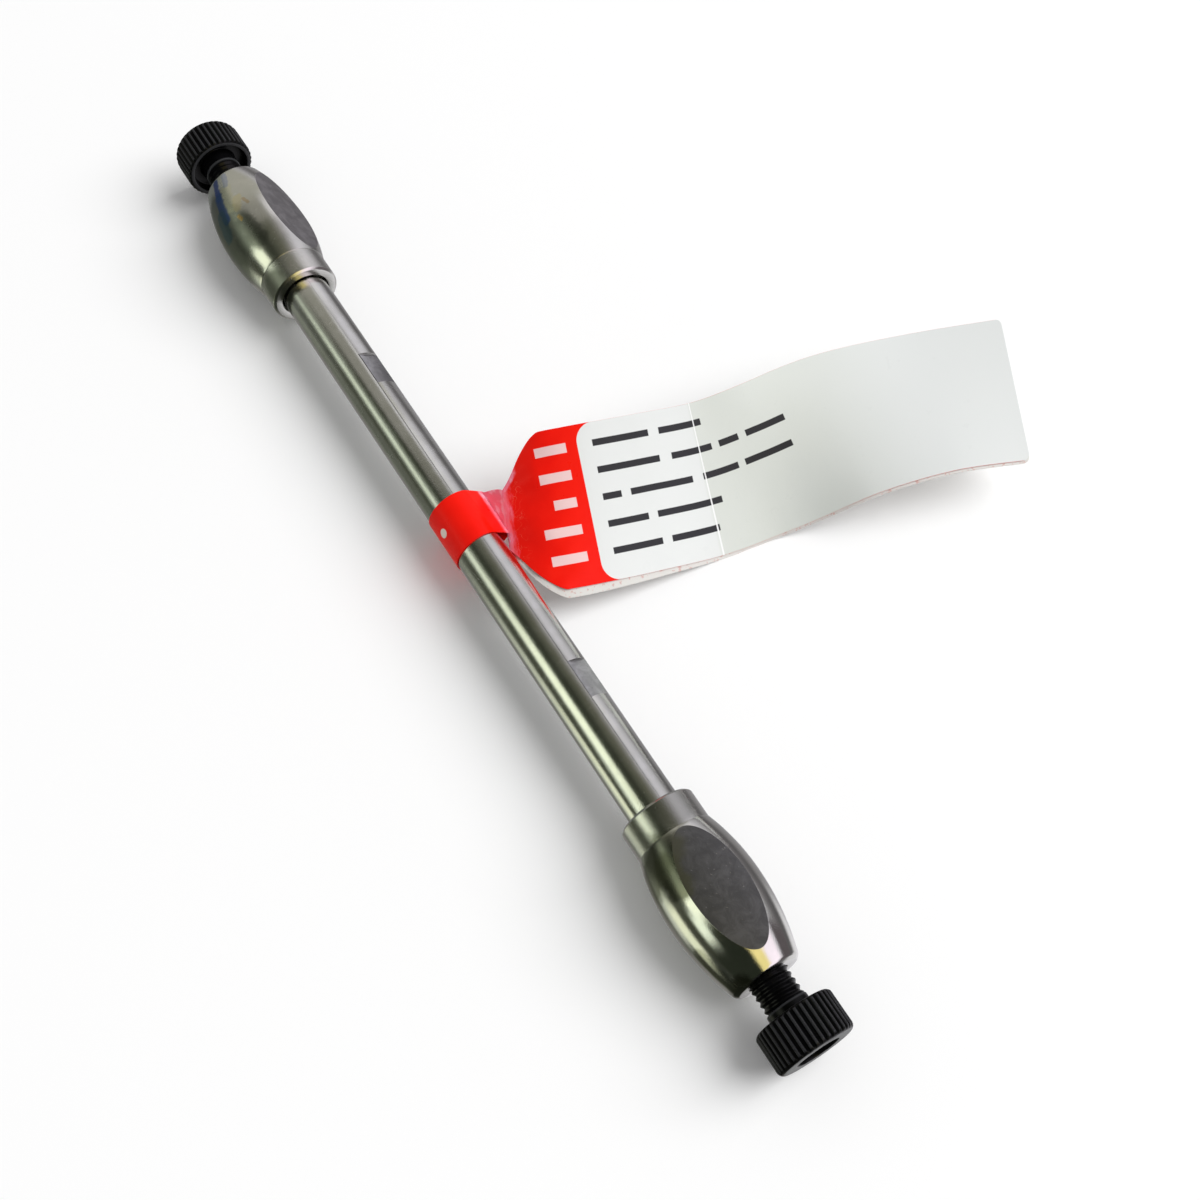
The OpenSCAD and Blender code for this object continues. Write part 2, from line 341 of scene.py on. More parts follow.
# Angle from straight up towards +Y in degrees, all the way round, with the light that comes from there
skyBands = [(-180, (0.27, 0.265, 0.25)), (-165, (0.28, 0.27, 0.26)), (-155, (0.21, 0.21, 0.19)),
            (-147, (0.17, 0.18, 0.15)), (-142, (0.45, 0.47, 0.40)), (-135, (0.68, 0.72, 0.60)),
            (-120, (0.78, 0.83, 0.65)), (-113, (0.42, 0.45, 0.35)), (-106, (0.11, 0.115, 0.09)),
            (-92, (0.07, 0.075, 0.05)), (-82, (0.10, 0.11, 0.085)), (-74, (0.34, 0.37, 0.30)),
            (-68, (0.92, 1.01, 0.80)), (-59, (0.98, 1.08, 0.86)), (-53, (0.36, 0.40, 0.32)),
            (-45, (0.20, 0.22, 0.17)), (-37, (0.06, 0.068, 0.045)), (-24, (0.038, 0.042, 0.028)),
            (-8, (0.10, 0.105, 0.075)), (8, (0.16, 0.16, 0.12)), (20, (0.28, 0.275, 0.25)),
            (31, (0.55, 0.53, 0.55)), (43, (0.84, 0.82, 0.88)), (60, (0.80, 0.78, 0.84)),
            (76, (0.58, 0.57, 0.60)), (84, (0.34, 0.33, 0.34)), (92, (0.20, 0.19, 0.20)),
            (104, (0.14, 0.135, 0.14)), (120, (0.31, 0.30, 0.31)), (138, (0.34, 0.335, 0.345)),
            (152, (0.42, 0.41, 0.43)), (180, (0.27, 0.265, 0.25))]
# Panels and walls laid over the bands: reach along the column, reach round it, softness of both, light
skyPatches = [
    ((-1.2, -0.70), (-190, -95), (0.06, 8), (0.18, 0.19, 0.18)),
    ((-1.2, -0.74), (-52, 66), (0.07, 12), (0.50, 0.49, 0.43)),
    ((-1.2, -0.74), (-95, -52), (0.07, 8), (0.25, 0.26, 0.23)),
    ((-0.72, -0.54), (-22, 28), (0.05, 10), (0.36, 0.35, 0.31)),
    ((-0.72, -0.53), (24, 56), (0.05, 6), (0.92, 0.90, 0.92)),
    ((-0.70, -0.40), (-143, -99), (0.09, 6), (0.14, 0.15, 0.12)),
    ((-0.36, -0.06), (-74, -46), (0.05, 4), (1.45, 1.55, 1.18)),
    ((-0.14, 0.08), (-84, -66), (0.04, 4), (1.30, 1.42, 1.12)),
    ((-0.27, 0.07), (-127, -106), (0.05, 5), (1.15, 1.20, 0.88)),
    ((-0.08, 1.2), (-152, -129), (0.05, 4), (0.08, 0.085, 0.06)),
    ((-0.02, 1.2), (-64, -30), (0.05, 4), (0.05, 0.055, 0.035)),
    ((0.12, 1.2), (-97, -20), (0.05, 4), (0.025, 0.03, 0.02)),
    ((0.10, 1.2), (-190, -97), (0.07, 5), (0.04, 0.045, 0.035)),
    ((0.24, 1.2), (-14, 22), (0.04, 6), (1.30, 1.10, 0.45)),
    ((0.20, 1.2), (17, 56), (0.04, 8), (1.55, 1.38, 1.55)),
    ((0.10, 1.2), (64, 97), (0.05, 4), (0.15, 0.13, 0.14)),
    ((-0.10, 1.2), (116, 165), (0.08, 8), (0.95, 0.94, 0.98)),
]


def floorMaterial():
    material, bench = newMaterial("paleFloor")
    shade = stageLook["floorColour"]
    x, y = ownPlace(bench)[:2]
    seen = Wire(bench, bench.add("ShaderNodeLightPath").outputs["Is Camera Ray"])
    away = bench.rise(bench.span(x, y), *stageLook["fade"]) * seen
    paint = bench.out("ShaderNodeBsdfPrincipled", None, {
        "Base Color": (shade, shade, shade, 1.0), "Roughness": stageLook["floorRough"],
        "Specular IOR Level": stageLook["floorSpecular"]})
    white = bench.out("ShaderNodeEmission", None, {"Color": (1.0, 1.0, 1.0, 1.0), "Strength": 1.0})
    both = bench.out("ShaderNodeMixShader", None, {0: away, 1: paint, 2: white})
    surface = bench.add("ShaderNodeOutputMaterial")
    bench.tree.links.new(both.socket, surface.inputs["Surface"])
    return material


def buildFloor():
    half = stageLook["floorSize"] / 2
    low = cadBox[0].z / mm
    corners = [(-half, -half, low), (half, -half, low), (half, half, low), (-half, half, low)]
    floor = linkMesh("floor", corners, [(0, 1, 2, 3)])
    clothe(floor, floorMaterial())
    floor.visible_glossy = False  # metal mirrors the studio's lower half instead


def buildKeyLamp():
    lamp = bpy.data.lights.new("key", "AREA")
    lamp.shape = "DISK"
    lamp.size = stageLook["keySize"] * mm
    lamp.energy = stageLook["keyPower"]
    key = bpy.data.objects.new("key", lamp)
    bpy.context.scene.collection.objects.link(key)
    toKey = Vector(stageLook["keyFrom"]).normalized()
    key.location = toKey * stageLook["keyReach"] * mm
    key.rotation_euler = toKey.to_track_quat("Z", "Y").to_euler()
    key.visible_glossy = False
    key.visible_camera = False


# The bands and panels as one colour that depends on the way that a ray leaves
def studioLight(bench):
    x, y, z = bench.split(bench.out("ShaderNodeTexCoord", output=0))
    lean = bench.math("ARCTAN2", y, z) * math.degrees(1.0)
    stops = [((angle + 180) / 360, light) for angle, light in skyBands]
    light = bench.out("ShaderNodeValToRGB", {"stops": stops}, {0: lean / 360 + 0.5})
    for alongColumn, roundColumn, softness, panel in skyPatches:
        within = 1.0
        for value, (low, high), soft in zip((x, lean), (alongColumn, roundColumn), softness):
            begun = bench.rise(value, low - soft, low + soft)
            ended = bench.rise(value, high - soft, high + soft)
            within = begun * (1 - ended) * within
        light = bench.blend(within, light, panel)
    return light


# The panels show in metal, all else is lit by an even sky, and the camera sees white
def buildStudio():
    world = bpy.data.worlds.new("studio")
    bpy.context.scene.world = world
    world.use_nodes = True
    world.node_tree.nodes.clear()
    bench = Bench(world.node_tree)
    path = bench.add("ShaderNodeLightPath")
    seen, mirrored = [Wire(bench, path.outputs[name]) for name in ("Is Camera Ray", "Is Glossy Ray")]
    even = stageLook["skyLevel"]
    sky = bench.blend(mirrored, (even, even, even), studioLight(bench))
    sky = bench.blend(seen, sky, (1.0, 1.0, 1.0))
    lit = bench.add("ShaderNodeBackground", None, {"Color": sky, "Strength": 1.0})
    shown = bench.add("ShaderNodeOutputWorld")
    bench.tree.links.new(lit.outputs[0], shown.inputs["Surface"])


# Colours of the fine marks: scratches in the steel, and specks and nicks in its milled flats
steelMarks = {"scratch": (0.8, 0.8, 0.78), "speck": (0.42, 0.42, 0.44), "nick": (0.62, 0.62, 0.62)}


def steelMaterial(name, look):
    material, bench = newMaterial(name)
    own = ownPlace(bench)
    x, y, z, place = own
    # lines left by the lathe run round the axis
    around = bench.math("ARCTAN2", z, y)
    cutPath = bench.join(x * look["lines"], bench.span(y, z) * look["lines"], around * 0.6)
    lines = bench.noise(cutPath, 1.0, 3.0, 0.7)
    grain = bench.noise(place, look["grain"], 2.0, 0.6)
    cloud = bench.noise(place, 0.35, 3.0, 0.6)
    hair = bench.noise(bench.join(x * 0.5, y * 2.3, z * 2.3), 2.2, 1.0, 0.5, 1.2)
    scratch = 1 - bench.rise(abs(hair - 0.5), 0.0, 0.006)
    scratch = scratch * bench.rise(bench.noise(place, 0.9, 1.0), 0.56, 0.64)
    tone = bench.blend(bench.rise(cloud, 0.35, 0.7), look["colour"], look["tint"])
    tone = bench.blend(scratch * 0.5, tone, steelMarks["scratch"])
    rough = look["rough"] + (lines - 0.5) * look["lineRough"] + (cloud - 0.5) * 0.10 + scratch * 0.15
    height = lines * look["lineHeight"] + grain * look["grainHeight"]
    tone, rough, height = addFlats(bench, own, look, tone, rough, height)
    if "collarEnd" in look:
        collar = 1 - bench.rise(abs(x), look["collarEnd"] - 0.03, look["collarEnd"] + 0.03)
        rough = rough + collar * look["collarRough"]
        height = height + collar * grain * 1.5
    # stains, and darker places that are painted shade where the steel's reflections are dimmer
    for *shape, strength, dull, colour in look.get("stainsAndShade", []):
        mask = stainAndShadeMask(bench, place, *shape) * strength
        tone = bench.blend(mask, tone, colour)
        rough = rough + mask * dull
    finishMaterial(bench, Base_Color=tone, Metallic=1.0, Roughness=rough,
                   Normal=bench.bump(height, look["depth"]))
    return material


# The milled flats lie a fixed distance off the axis, hazy, specked and nicked
def addFlats(bench, own, look, tone, rough, height):
    x, y, z, place = own
    turn = math.radians(look["flatRoll"])
    off = abs(y * math.sin(turn) + z * math.cos(turn))
    mask = bench.rise(-abs(off - look["flat"]), -0.012, -0.004)
    speck = bench.noise(place, 3.0, 4.0, 0.75)
    haze = bench.rise(bench.noise(place, 0.55, 4.0, 0.65, 0.6), 0.36, 0.70)
    milled = bench.blend(haze, look["flatColour"], [1.45 * part for part in look["flatColour"]])
    milled = bench.blend(bench.rise(speck, 0.60, 0.80) * 0.35, milled, steelMarks["speck"])
    slanted = bench.join(x * 1.6 + y * 1.1, y * 4.6 - x * 2.4, z * 3.0)
    nick = bench.rise(bench.noise(slanted, 0.9, 1.0, 0.5, 0.4), 0.735, 0.775)
    milled = bench.blend(nick * 0.55, milled, steelMarks["nick"])
    tone = bench.blend(mask, tone, milled)
    rough = rough + mask * (look["flatRough"] + (speck - 0.5) * 0.15)
    height = height + mask * (speck * 1.2 + nick * 1.5)
    return tone, rough, height


# A soft-edged mask along the line between two points, made ragged by noise
def stainAndShadeMask(bench, place, start, end, width, noiseScale, rag):
    reach = Vector(end) - Vector(start)
    offset = bench.vector("SUBTRACT", place, start)
    along = bench.vector("DOT_PRODUCT", offset, reach / reach.length_squared, output=1)
    along = bench.most(bench.least(along, 1.0), 0.0)
    nearest = bench.out("ShaderNodeVectorMath", {"operation": "SCALE"}, {0: reach, "Scale": along})
    distance = bench.vector("LENGTH", bench.vector("SUBTRACT", offset, nearest), output=1) / width
    ragged = distance + (bench.noise(place, noiseScale, 3.0, 0.6) - 0.5) * rag
    return 1 - bench.rise(ragged, 0.5, 1.0)


tubeValues = {
    "insertion": 6.7, "endChamfer": 0.2, "bore": 2.1, "brokenEdge": 0.04, "segments": 192,
    "flatLength": 5.3, "flatDepth": 0.38, "flatSetback": 17.4, "flatRoll": 36.0,
    "look": {"colour": (0.60, 0.60, 0.57), "tint": (0.66, 0.66, 0.64), "rough": 0.15, "lines": 7.0,
             "lineRough": 0.16, "lineHeight": 0.5, "grain": 7.0, "grainHeight": 2.1, "depth": 0.005,
             "flatColour": (0.42, 0.42, 0.43), "flatRough": 0.16},
}


def buildTube():
    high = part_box("column_tube")[1]
    half = high.x / mm
    radius = high.y / mm
    chamfer = tubeValues["endChamfer"]
    bore = tubeValues["bore"] / 2
    outline = [(-half, bore), (half, bore), (half, radius - chamfer), (half - chamfer, radius),
               (chamfer - half, radius), (-half, radius - chamfer)]
    tube = turnedPiece("columnTube", outline, tubeValues["segments"])
    flatX = half - tubeValues["insertion"] - tubeValues["flatSetback"]
    flat = radius - tubeValues["flatDepth"]
    roll = tubeValues["flatRoll"]
    cutFlats(tube, (flatX, -flatX), tubeValues["flatLength"], flat, roll)
    breakEdges(tube, tubeValues["brokenEdge"])
    clothe(tube, steelMaterial("tubeSteel", {**tubeValues["look"], "flat": flat, "flatRoll": roll}))
    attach(tube, "column")
    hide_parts("column_tube")


fittingValues = {
    "tube": 3.175, "mouthGap": 0.22, "mouthDepth": 0.5, "mouthChamfer": 0.07, "threadGap": 0.12,
    "socketDepth": 7.7, "collarWall": 1.26, "collarLength": 3.9, "barrelStart": 4.7, "barrelPeak": 11.7,
    "barrelEnd": 4.05, "arcSteps": 22, "edge": 0.3, "edgeSlope": 0.05, "soft": 0.07, "brokenEdge": 0.12,
    "passage": 0.25, "passageLength": 1.7, "pilot": 0.8, "pilotDepth": 1.6, "cone": 2.115,
    "port": 2.465, "portDepth": 7.5, "flat": 4.8, "flatStart": 0.5, "flatPast": 2.5, "segments": 192,
    "roll": {"inlet": 46.0, "outlet": 0.0},
    "rough": {"inlet": 0.17, "outlet": 0.09},
    "flatColour": {"inlet": (0.32, 0.312, 0.322), "outlet": (0.148, 0.15, 0.158)},
    "look": {"colour": (0.60, 0.60, 0.57), "tint": (0.66, 0.65, 0.62), "lines": 5.0, "lineRough": 0.08,
             "lineHeight": 0.5, "grain": 7.0, "grainHeight": 1.8, "depth": 0.004, "flatRough": 0.34,
             "collarRough": 0.07},
    # stains and painted shade: from one point to another, width, its noise's scale, how ragged, strength,
    # how dull and what colour
    "stainsAndShade": {
        "inlet": [
            # the first four darken the collar and barrel where their reflections are dimmer, and dull them:
            # painted shade
            ((-44.8, -3.6, 2.9), (-43.3, -3.6, 2.9), 2.7, 0.8, 0.4, 0.85, 0.14, (0.20, 0.21, 0.18)),
            ((-60.5, -4.6, 2.6), (-52.6, -4.9, 3.0), 3.4, 0.5, 0.6, 0.9, 0.16, (0.155, 0.165, 0.145)),
            ((-57.0, -5.6, 0.6), (-51.0, -5.5, 0.6), 3.0, 0.5, 0.6, 0.8, 0.16, (0.19, 0.20, 0.175)),
            ((-54.5, -2.8, 5.0), (-51.0, -2.5, 5.1), 1.8, 0.7, 0.8, 0.8, 0.1, (0.23, 0.24, 0.21)),
            ((-57.6, -3.2, 4.9), (-56.2, -3.2, 4.9), 1.1, 1.0, 0.9, 0.6, 0.0, (0.30, 0.31, 0.26)),
            ((-61.6, -2.4, 4.6), (-58.2, -3.4, 4.7), 1.2, 1.0, 0.9, 0.55, 0.0, (0.60, 0.59, 0.44)),
            ((-58.6, -2.0, 5.3), (-57.2, -2.6, 5.2), 0.9, 1.3, 1.1, 0.6, 0.0, (0.64, 0.58, 0.36)),
            ((-64.4, -2.9, 3.5), (-61.0, -3.8, 3.75), 0.62, 1.2, 0.9, 0.9, 0.0, (0.045, 0.09, 0.34)),
            ((-61.4, -3.8, 3.7), (-57.2, -4.5, 3.8), 0.95, 1.0, 1.0, 0.85, 0.0, (0.035, 0.085, 0.25)),
            ((-64.3, -1.5, 4.2), (-62.2, -2.0, 4.5), 0.6, 1.6, 1.1, 0.5, 0.0, (0.22, 0.28, 0.50)),
            ((-58.5, -4.9, 3.2), (-55.4, -5.2, 2.6), 1.4, 0.8, 1.0, 0.65, 0.0, (0.06, 0.13, 0.17)),
            ((-57.9, -1.4, 5.7), (-56.9, -1.1, 5.75), 0.34, 3.0, 1.1, 0.5, 0.0, (0.50, 0.33, 0.13)),
            ((-55.8, -3.1, 5.0), (-55.1, -3.0, 5.1), 0.36, 3.0, 1.1, 0.65, 0.0, (0.66, 0.42, 0.12)),
        ],
        "outlet": [
            # the dark grey ones darken the collar and barrel where their reflections are dimmer: painted
            # shade
            ((43.4, 0.7, 4.6), (45.4, 0.7, 4.6), 2.8, 0.8, 0.4, 0.8, 0.0, (0.36, 0.36, 0.34)),
            ((48.6, -2.6, 4.2), (50.4, -5.3, 1.4), 2.9, 0.8, 0.5, 0.9, 0.1, (0.15, 0.154, 0.118)),
            ((50.4, -3.7, 3.8), (53.0, -3.7, 4.3), 2.2, 0.9, 0.7, 0.92, 0.08, (0.13, 0.135, 0.095)),
            ((51.0, -5.2, -1.0), (60.0, -5.0, -2.0), 3.0, 0.6, 0.5, 0.6, 0.0, (0.28, 0.285, 0.20)),
            # painted shadow of the plug's head on the barrel's end
            ((65.0, -3.3, 2.4), (65.0, -3.1, -1.6), 1.7, 1.2, 0.5, 0.9, 0.1, (0.13, 0.13, 0.09)),
            ((60.0, -5.3, 1.5), (64.0, -4.4, 1.4), 1.3, 0.9, 0.8, 0.6, 0.0, (0.22, 0.22, 0.16)),
        ],
    },
}


# Outline of a fitting from its collar's face outwards: the outside first, then the hollows back to the mouth
def fittingOutline(length, barrel):
    its = fittingValues
    mouth = its["tube"] + its["mouthGap"]
    collar = mouth + its["collarWall"]
    socket = its["tube"] + its["threadGap"]
    points = [(0, mouth + its["mouthChamfer"]), (0, collar - its["edge"]), (its["edge"], collar),
              (its["collarLength"], collar), (its["collarLength"], its["barrelStart"])]
    # two arcs that meet at the barrel's widest place
    for start, end, radius in ((its["collarLength"], its["barrelPeak"], its["barrelStart"]),
                               (its["barrelPeak"], length, its["barrelEnd"])):
        fall = barrel - radius
        arc = ((end - start) ** 2 + fall * fall) / 2 / fall
        for step in range(1, its["arcSteps"] + 1):
            x = start + (end - start) * step / its["arcSteps"]
            if x < length - its["edge"]:
                points.append((x, barrel - arc + math.sqrt(arc * arc - (x - its["barrelPeak"]) ** 2)))
    cone = length - its["portDepth"]
    pilotStart = its["socketDepth"] + its["passageLength"]
    pilotEnd = pilotStart + its["pilotDepth"]
    points += [(length - its["edge"], its["barrelEnd"] + its["edgeSlope"]),
               (length, its["barrelEnd"] - its["edge"]), (length, its["port"] + its["mouthChamfer"]),
               (length - its["mouthChamfer"], its["port"]), (cone, its["port"]), (cone, its["cone"]),
               (pilotEnd, its["pilot"]), (pilotStart, its["pilot"]), (pilotStart, its["passage"]),
               (its["socketDepth"], its["passage"]), (its["socketDepth"], socket),
               (its["mouthDepth"] + mouth - socket, socket), (its["mouthDepth"], mouth),
               (its["mouthChamfer"], mouth)]
    return points


def buildFitting(end):
    its = fittingValues
    low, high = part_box(end + "_fitting")
    face = min(abs(low.x), abs(high.x)) / mm
    length = (high.x - low.x) / mm
    barrel = max(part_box(name + "_fitting")[1].y for name in its["roll"]) / mm
    outline = softened(fittingOutline(length, barrel), its["soft"])
    fitting = turnedPiece(end + "Fitting", [(face + x, radius) for x, radius in outline], its["segments"])
    if end == "inlet":
        turnEndForEnd(fitting)
    roll = its["roll"][end]
    middle = face + (its["flatStart"] + length + its["flatPast"]) / 2
    flatLength = length + its["flatPast"] - its["flatStart"]
    cutFlats(fitting, [math.copysign(middle, high.x)], flatLength, its["flat"], roll)
    breakEdges(fitting, its["brokenEdge"])
    look = {**its["look"], "rough": its["rough"][end], "flat": its["flat"], "flatRoll": roll,
            "flatColour": its["flatColour"][end], "collarEnd": face + its["collarLength"],
            "stainsAndShade": its["stainsAndShade"][end]}
    clothe(fitting, steelMaterial(end + "Steel", look))
    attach(fitting, "column")
    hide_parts(end + "_fitting")


plugValues = {
    "ribs": 38, "ribDepth": 0.34, "groovePower": 1.25, "shown": 4.3, "headLength": 4.85, "headEdge": 0.65,
    # the front edge's curve, in shares of headEdge back from the end and in from the side
    "edgeCurve": [(1.0, 0.0), (0.55, 0.12), (0.18, 0.42), (0.0, 0.85)],
    "backEdge": 0.35, "hole": 2.6, "holeDepth": 2.6, "holeEdge": 0.12, "rim": 0.85, "recess": 1.2,
    "recessSlant": 0.2, "shoulder": 2.535, "shoulderLength": 1.0, "tipStart": -7.35, "cone": 2.115,
    "noseEnd": -10.69, "nose": 0.9, "soft": 0.16, "segments": 456, "smoothAngle": 35.0,
    "crest": 2.415, "root": 2.18, "pitch": 0.794, "threadIn": 0.45, "threadOut": 0.1,
    # the ridge's middle and height in shares of the thread's height, its widths in shares of the pitch
    "ridgeMiddle": 0.4, "ridgeTall": 1.2, "ridgeFoot": 0.99, "ridgeTop": 0.12, "ridgeSteps": 64,
    # crest, lip and boss are painted highlights, and face is a painted reflection
    "look": {"dark": (0.0018, 0.0018, 0.002), "cloud": (0.0032, 0.0032, 0.0036), "dust": (0.05, 0.05, 0.05),
             "crest": (0.033, 0.033, 0.036), "lipHighlight": (0.040, 0.040, 0.043), "bossHighlight": (0.042, 0.043, 0.046),
             "face": (0.12, 0.125, 0.12), "rough": 0.22, "specular": 0.13, "depth": 0.006},
}


# Presses the grooves between the ribs into the turned head
def pressGrooves(bench, value):
    x, y, z = bench.split(bench.out("GeometryNodeInputPosition"))
    radius = bench.span(y, z)
    wave = bench.math("COSINE", bench.math("ARCTAN2", z, y) * value["Ribs"])
    groove = bench.math("POWER", wave * 0.5 + 0.5, value["Groove Power"])
    limit = value["Head Radius"] - value["Groove Depth"] * groove
    shrink = bench.least(radius, limit) / bench.most(radius, 1e-6)
    return bench.out("GeometryNodeSetPosition", None, {
        "Geometry": value["Geometry"], "Position": bench.join(x, y * shrink, z * shrink)})


# Sweeps the thread's ridge round the shank
def sweepRidge(bench, value):
    its = plugValues
    length = value["Thread End"] - value["Thread Start"]
    middle = value["Root Radius"] + value["Ridge Height"] * its["ridgeMiddle"]
    helix = bench.out("GeometryNodeCurveSpiral", None, {
        "Resolution": its["ridgeSteps"], "Rotations": length / value["Pitch"],
        "Start Radius": middle, "End Radius": middle, "Height": length})
    helix = bench.out("GeometryNodeSetCurveNormal", {"mode": "Z_UP"}, {0: helix})
    section = bench.out("GeometryNodeCurvePrimitiveQuadrilateral", {"mode": "TRAPEZOID"}, {
        "Height": value["Ridge Height"] * its["ridgeTall"], "Bottom Width": value["Pitch"] * its["ridgeFoot"],
        "Top Width": value["Pitch"] * its["ridgeTop"], "Offset": 0.0})
    quarter = math.radians(90)
    section = bench.out("GeometryNodeTransform", None, {"Geometry": section, "Rotation": (0, 0, quarter)})
    ridge = bench.out("GeometryNodeCurveToMesh", None, {
        "Curve": helix, "Profile Curve": section, "Fill Caps": True})
    return bench.out("GeometryNodeTransform", None, {
        "Geometry": ridge, "Rotation": (0, quarter, 0),
        "Translation": bench.join(value["Thread Start"], 0, 0)})


# The plugs' own tree; the head's radius and the thread's ends are set again for each plug
def plugTree(material):
    its = plugValues
    inputs = {"Ribs": its["ribs"], "Groove Power": its["groovePower"], "Groove Depth": its["ribDepth"] * mm,
              "Head Radius": 4.8 * mm, "Root Radius": its["root"] * mm,
              "Ridge Height": (its["crest"] - its["root"]) * mm, "Pitch": its["pitch"] * mm,
              "Thread Start": 58.0 * mm, "Thread End": 68.0 * mm}
    tree = bpy.data.node_groups.new("plugRibsAndThread", "GeometryNodeTree")
    face = tree.interface
    face.new_socket("Geometry", in_out="INPUT", socket_type="NodeSocketGeometry")
    for name, number in inputs.items():
        face.new_socket(name, in_out="INPUT", socket_type="NodeSocketFloat").default_value = number
    face.new_socket("Geometry", in_out="OUTPUT", socket_type="NodeSocketGeometry")
    bench = Bench(tree)
    given = bench.add("NodeGroupInput")
    value = {socket.name: Wire(bench, socket) for socket in given.outputs if socket.name}
    joined = bench.out("GeometryNodeMeshBoolean", {"operation": "UNION", "solver": "EXACT"})
    for solid in (sweepRidge(bench, value), pressGrooves(bench, value)):
        tree.links.new(solid.socket, joined.socket.node.inputs["Mesh 2"])
    real = bench.out("GeometryNodeRealizeInstances", None, {0: joined})
    dressed = bench.out("GeometryNodeSetMaterial", None, {0: real, "Material": material})
    bench.add("NodeGroupOutput", None, {0: dressed})
    return tree


def setTreeInput(modifier, name, value):
    for item in modifier.node_group.interface.items_tree:
        if item.item_type == "SOCKET" and item.in_out == "INPUT" and item.name == name:
            modifier[item.identifier] = value


# Outline of a plug from its nose to the bottom of the hole in its head
def plugOutline(base, head):
    its = plugValues
    shown, end = its["shown"], its["shown"] + its["headLength"]
    step = shown - its["shoulderLength"]
    recess = head - its["rim"]
    points = [(its["noseEnd"], 0.0), (its["noseEnd"], its["nose"]), (its["tipStart"], its["cone"]),
              (its["tipStart"], its["root"]), (step, its["root"]), (step, its["shoulder"]),
              (shown + its["recess"], its["shoulder"]), (shown + its["recess"], recess - its["recessSlant"]),
              (shown, recess), (shown, head - its["backEdge"]), (shown + its["backEdge"], head)]
    for back, inwards in its["edgeCurve"]:
        points.append((end - its["headEdge"] * back, head - its["headEdge"] * inwards))
    points += [(end, its["hole"] + its["holeEdge"]), (end - its["holeEdge"], its["hole"]),
               (end - its["holeDepth"], its["hole"]), (end - its["holeDepth"], 0.0)]
    return [(base + x, radius) for x, radius in softened(points, its["soft"], ring=False)]


def plugMaterial():
    its = plugValues
    look = its["look"]
    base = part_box("outlet_fitting")[1].x / mm
    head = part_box("outlet_plug")[1].y / mm
    back = base + its["shown"]
    step = back - its["shoulderLength"]
    end = back + its["headLength"]
    material, bench = newMaterial("plugPolymer")
    x, y, z, place = ownPlace(bench)
    radius, reach = bench.span(y, z), abs(x)
    cloud = bench.noise(place, 0.8, 3.0, 0.6)
    fine = bench.noise(place, 9.0, 3.0, 0.7)
    dust = bench.rise(bench.noise(place, 6.0, 2.0, 0.6), 0.70, 0.78)
    tone = bench.blend(bench.rise(cloud, 0.35, 0.7), look["dark"], look["cloud"])
    tone = bench.blend(dust * 0.15, tone, look["dust"])
    # painted highlights: the crests of the ribs, the rim round the back of the head and the shoulder's edge
    # are made lighter
    crest = bench.rise(radius, head - 0.17, head - 0.03) * bench.rise(fine, 0.22, 0.55)
    lipHighlight = bench.rise(-abs(radius - (head - its["rim"] + 0.25)), -0.30, -0.20)
    lipHighlight = lipHighlight * (1 - bench.rise(reach, back + 0.02, back + 0.10))
    bossHighlight = bench.rise(-abs(radius - its["shoulder"]), -0.30, -0.16)
    bossHighlight = bossHighlight * (1 - bench.rise(reach, step + 0.14, step + 0.34))
    bossHighlight = bossHighlight * bench.rise(reach, step - 0.10, step - 0.04)
    # painted reflection: the end face round the hole is made pale
    face = bench.rise(reach, end - 0.06, end - 0.02) * bench.rise(radius, its["hole"], its["hole"] + 0.1)
    tone = bench.blend(crest * 0.85, tone, look["crest"])
    tone = bench.blend(lipHighlight * 0.85, tone, look["lipHighlight"])
    tone = bench.blend(bossHighlight * 0.75, tone, look["bossHighlight"])
    tone = bench.blend(face * bench.rise(cloud, 0.3, 0.6), tone, look["face"])
    rough = look["rough"] + (cloud - 0.5) * 0.12 + (fine - 0.5) * 0.10 + dust * 0.2
    rough = rough + (crest + lipHighlight + face) * 0.12
    finishMaterial(bench, Base_Color=tone, Roughness=rough, Specular_IOR_Level=look["specular"],
                   Normal=bench.bump(fine, look["depth"]))
    return material


def buildPlug(end, material, tree):
    its = plugValues
    low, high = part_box(end + "_fitting")
    base = max(abs(low.x), abs(high.x)) / mm
    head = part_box(end + "_plug")[1].y / mm
    plug = turnedPiece(end + "Plug", plugOutline(base, head), its["segments"], ring=False)
    shape = plug.modifiers.new("shape", "NODES")
    shape.node_group = tree
    setTreeInput(shape, "Head Radius", head * mm)
    setTreeInput(shape, "Thread Start", (base + its["tipStart"] + its["threadIn"]) * mm)
    setTreeInput(shape, "Thread End", (base + its["shown"] - its["shoulderLength"] - its["threadOut"]) * mm)
    settle(plug, its["smoothAngle"])
    if end == "inlet":
        turnEndForEnd(plug)
    clothe(plug, material)
    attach(plug, end + "_plug")
    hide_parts(end + "_plug")


